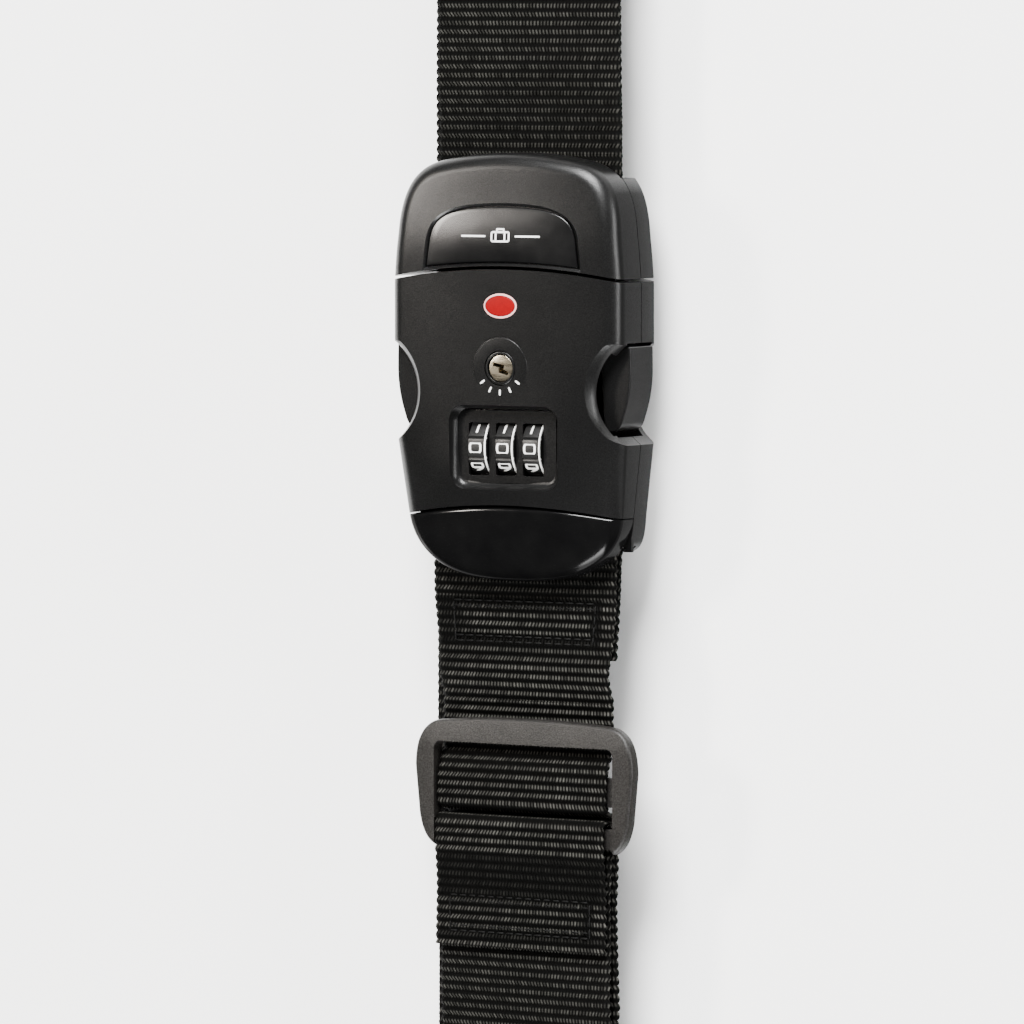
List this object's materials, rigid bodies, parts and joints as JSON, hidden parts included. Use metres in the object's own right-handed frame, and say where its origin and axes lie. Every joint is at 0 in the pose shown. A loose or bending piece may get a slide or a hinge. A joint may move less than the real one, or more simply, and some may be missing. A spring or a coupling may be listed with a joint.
{
  "type": "luggage strap",
  "caption": "Wide black luggage strap, folded flat, with a side-release buckle, combination lock with key override, and a slide adjuster.",
  "frame": {"origin": "on the surface the strap lies on, under the middle of its box", "axes": "+X across the strap, +Y along it towards the plug end, +Z out of the buckle's front"},
  "size_m": [0.0666, 0.3264, 0.0301],
  "materials": {
    "matte_black": "fine moulded texture, soft sheen",
    "gloss_black": "polished piano black",
    "graphite_plastic": "grainy matt moulding",
    "dial_black": "satin moulding with white figures",
    "webbing": "coarse ribbed polypropylene weave",
    "steel": "plain bright steel",
    "nickel": "warm satin nickel",
    "red_insert": "smooth red insert",
    "elastic": "flat elastic band"
  },
  "bodies": {
    "housing": {"front_shell": "matte_black", "rear_shell": "matte_black", "lower_cap": "gloss_black", "lock_badge": "red_insert", "dial_window_frame": "matte_black", "dial_spindle": "steel", "detent_spring": "steel", "key_barrel": "matte_black", "lock_spring": "steel", "reset_spring": "steel", "housing_bar": "steel", "housing_screw_1": "steel", "housing_screw_2": "steel", "housing_screw_3": "steel", "housing_screw_4": "steel", "webbing_layer_5": "webbing", "webbing_hank": "webbing", "webbing_layer_1": "webbing", "webbing_adjuster_run": "webbing", "storage_band": "elastic"},
    "plug": {"plug_cover": "matte_black", "plug_base": "matte_black", "label_plate": "gloss_black", "plug_bar": "steel", "plug_screw_1": "steel", "plug_screw_2": "steel", "webbing_upper_run": "webbing"},
    "arm_left": {"release_arm_left": "matte_black"},
    "arm_right": {"release_arm_right": "matte_black"},
    "dial_one": {"dial_1": "dial_black", "dial_clutch_1": "steel"},
    "dial_two": {"dial_2": "dial_black", "dial_clutch_2": "steel"},
    "dial_three": {"dial_3": "dial_black", "dial_clutch_3": "steel"},
    "key": {"key_core": "nickel", "key_cam": "steel"},
    "blocker": {"lock_slide": "steel"},
    "reset": {"reset_button": "matte_black"},
    "adjuster": {"slide_adjuster": "graphite_plastic", "webbing_adjuster_wave": "webbing", "webbing_tail": "webbing", "webbing_lower_run": "webbing"}
  },
  "joints": [
    {"name": "plug_release", "type": "slide", "parent": "housing", "child": "plug", "axis": [0, 1, 0], "range_m": [0, 0.042], "deforming": ["webbing_layer_5", "release_arm_left", "release_arm_right"]},
    {"name": "squeeze_left", "type": "hinge", "parent": "plug", "child": "arm_left", "pos_m": [-0.02155, 0.05862, 0.014], "axis": [0, 0, 1], "range_deg": [0, 8], "stiffness_Nm_per_rad": 2},
    {"name": "squeeze_right", "type": "hinge", "parent": "plug", "child": "arm_right", "pos_m": [0.02385, 0.05862, 0.014], "axis": [0, 0, -1], "range_deg": [0, 8], "stiffness_Nm_per_rad": 2},
    {"name": "dial_1_turn", "type": "hinge", "parent": "housing", "child": "dial_one", "pos_m": [-0.00625, 0.01512, 0.0204], "axis": [1, 0, 0], "continuous": true},
    {"name": "dial_2_turn", "type": "hinge", "parent": "housing", "child": "dial_two", "pos_m": [0.00115, 0.01512, 0.0204], "axis": [1, 0, 0], "continuous": true},
    {"name": "dial_3_turn", "type": "hinge", "parent": "housing", "child": "dial_three", "pos_m": [0.00855, 0.01512, 0.0204], "axis": [1, 0, 0], "continuous": true},
    {"name": "key_turn", "type": "hinge", "parent": "housing", "child": "key", "pos_m": [0.00115, 0.03432, 0.024], "axis": [0, 0, 1], "range_deg": [0, 90]},
    {"name": "blocker_slide", "type": "slide", "parent": "housing", "child": "blocker", "axis": [0, 1, 0], "range_m": [0, 0.0042], "deforming": ["lock_spring"]},
    {"name": "reset_press", "type": "slide", "parent": "housing", "child": "reset", "axis": [0, 0, 1], "range_m": [0, 0.0012], "stiffness_N_per_m": 300, "deforming": ["reset_spring"]},
    {"name": "adjuster_slide", "type": "slide", "parent": "housing", "child": "adjuster", "axis": [0, 1, 0], "range_m": [-0.015, 0.01], "deforming": ["webbing_adjuster_run", "webbing_layer_1"]}
  ],
  "couplings": [
    {"joint": "key_turn", "follows": "blocker_slide", "rad_per_m": 374}
  ]
}
